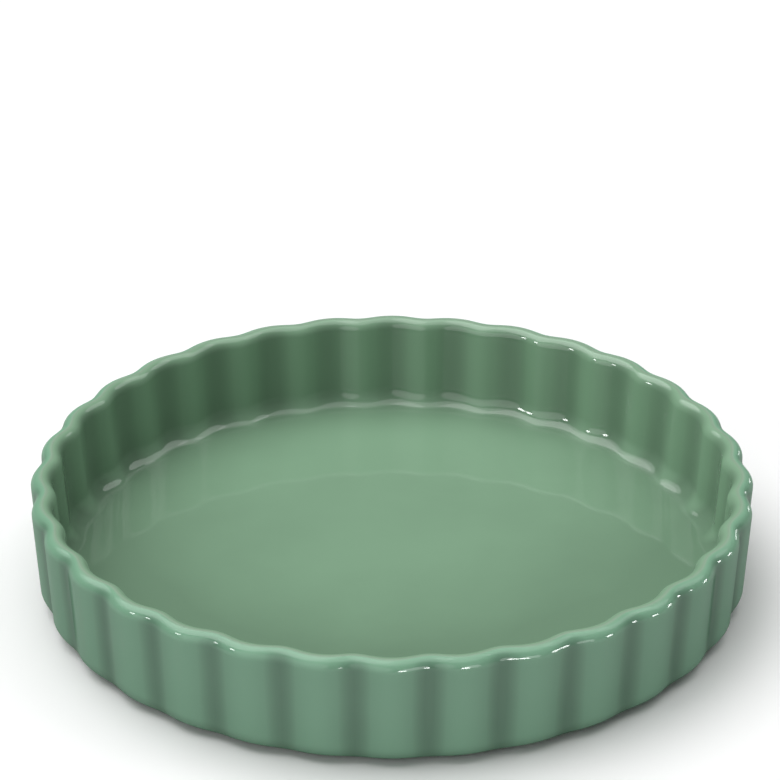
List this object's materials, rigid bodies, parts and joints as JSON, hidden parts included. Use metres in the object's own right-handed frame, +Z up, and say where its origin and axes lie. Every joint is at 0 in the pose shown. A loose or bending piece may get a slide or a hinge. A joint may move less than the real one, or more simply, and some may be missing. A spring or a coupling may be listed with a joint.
{
  "type": "pie dish",
  "caption": "Round, shallow baking dish of glazed stoneware with a flat floor, a fluted wall, a rounded lip and a bare foot ring, for pies, tarts and flans.",
  "frame": {"origin": "centre of the foot ring, on the plane that the dish stands on", "axes": "+Z up, out of the open top; X and Y each pass through the crests of two opposite flutes"},
  "size_m": [0.28, 0.28, 0.0458],
  "materials": {
    "bare_stoneware": "matt fired clay",
    "green_glaze": "glossy sage green glaze"
  },
  "bodies": {
    "root": {"stoneware_body": "bare_stoneware", "inside_glaze": "green_glaze", "outside_glaze": "green_glaze", "underside_glaze": "green_glaze"}
  },
  "joints": []
}
